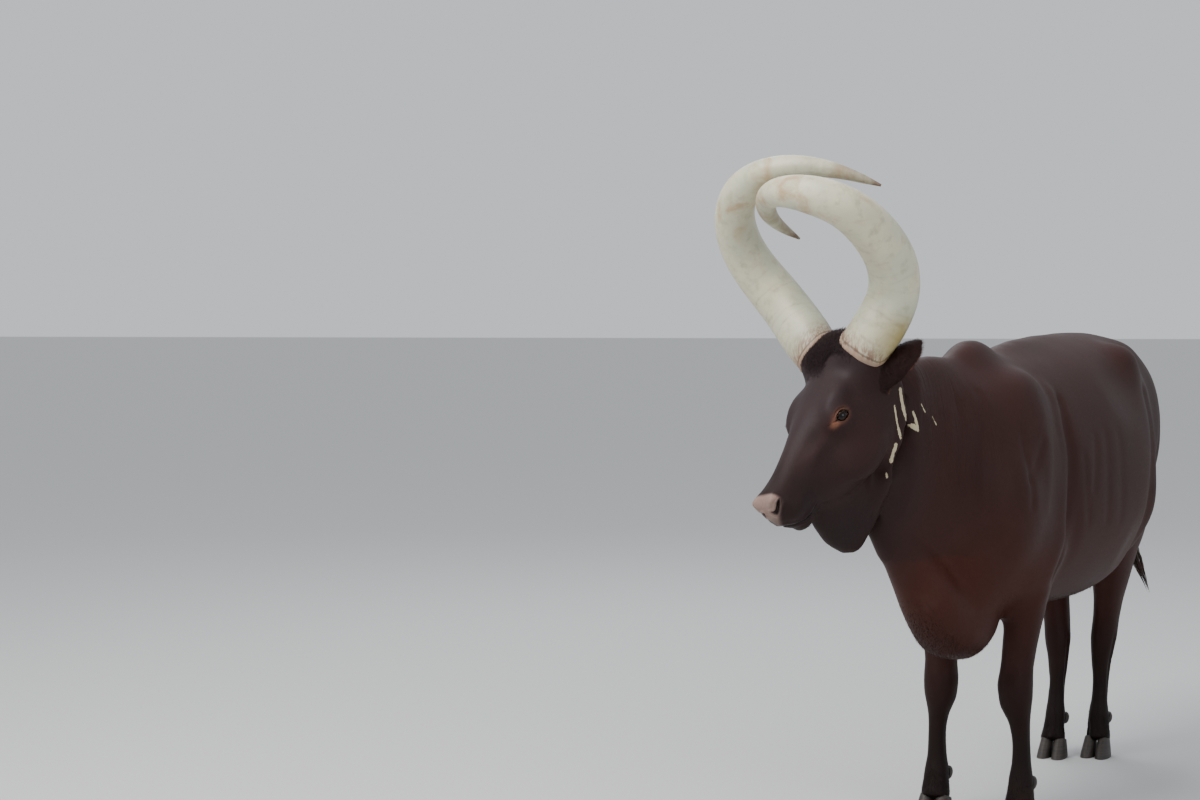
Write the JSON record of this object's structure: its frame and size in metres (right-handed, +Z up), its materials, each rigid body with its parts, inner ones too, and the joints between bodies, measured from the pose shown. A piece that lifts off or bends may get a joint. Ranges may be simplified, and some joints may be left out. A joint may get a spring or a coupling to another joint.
{
  "type": "ankole watusi cow",
  "caption": "Life-size ankole watusi cow standing with its head turned, long curved horns, short dark brown coat, hump and dewlap.",
  "frame": {"origin": "on the floor under the middle of the bounding box", "axes": "+Z up; the animal faces -Y; +X is its left side"},
  "size_m": [0.7738, 2.2908, 1.7394],
  "materials": {
    "hide": "short flat dark brown coat with a soft sheen",
    "horn": "satin cream horn with fine growth rings",
    "eye": "wet gloss",
    "hoof": "dull dark horn",
    "switch": "coarse dark brown hair"
  },
  "bodies": {
    "root": {"dewclaw_front_left_inner": "hoof", "dewclaw_front_left_outer": "hoof", "dewclaw_front_right_inner": "hoof", "dewclaw_front_right_outer": "hoof", "dewclaw_hind_left_inner": "hoof", "dewclaw_hind_left_outer": "hoof", "dewclaw_hind_right_inner": "hoof", "dewclaw_hind_right_outer": "hoof", "ear_left": "hide", "ear_right": "hide", "eye_left": "eye", "eye_right": "eye", "head": "hide", "hoof_front_left_inner": "hoof", "hoof_front_left_outer": "hoof", "hoof_front_right_inner": "hoof", "hoof_front_right_outer": "hoof", "hoof_hind_left_inner": "hoof", "hoof_hind_left_outer": "hoof", "hoof_hind_right_inner": "hoof", "hoof_hind_right_outer": "hoof", "horn_left": "horn", "horn_right": "horn", "leg_front_left": "hide", "leg_front_right": "hide", "leg_hind_left": "hide", "leg_hind_right": "hide", "neck": "hide", "tail": "hide", "tail_switch": "switch", "torso": "hide"}
  },
  "joints": []
}
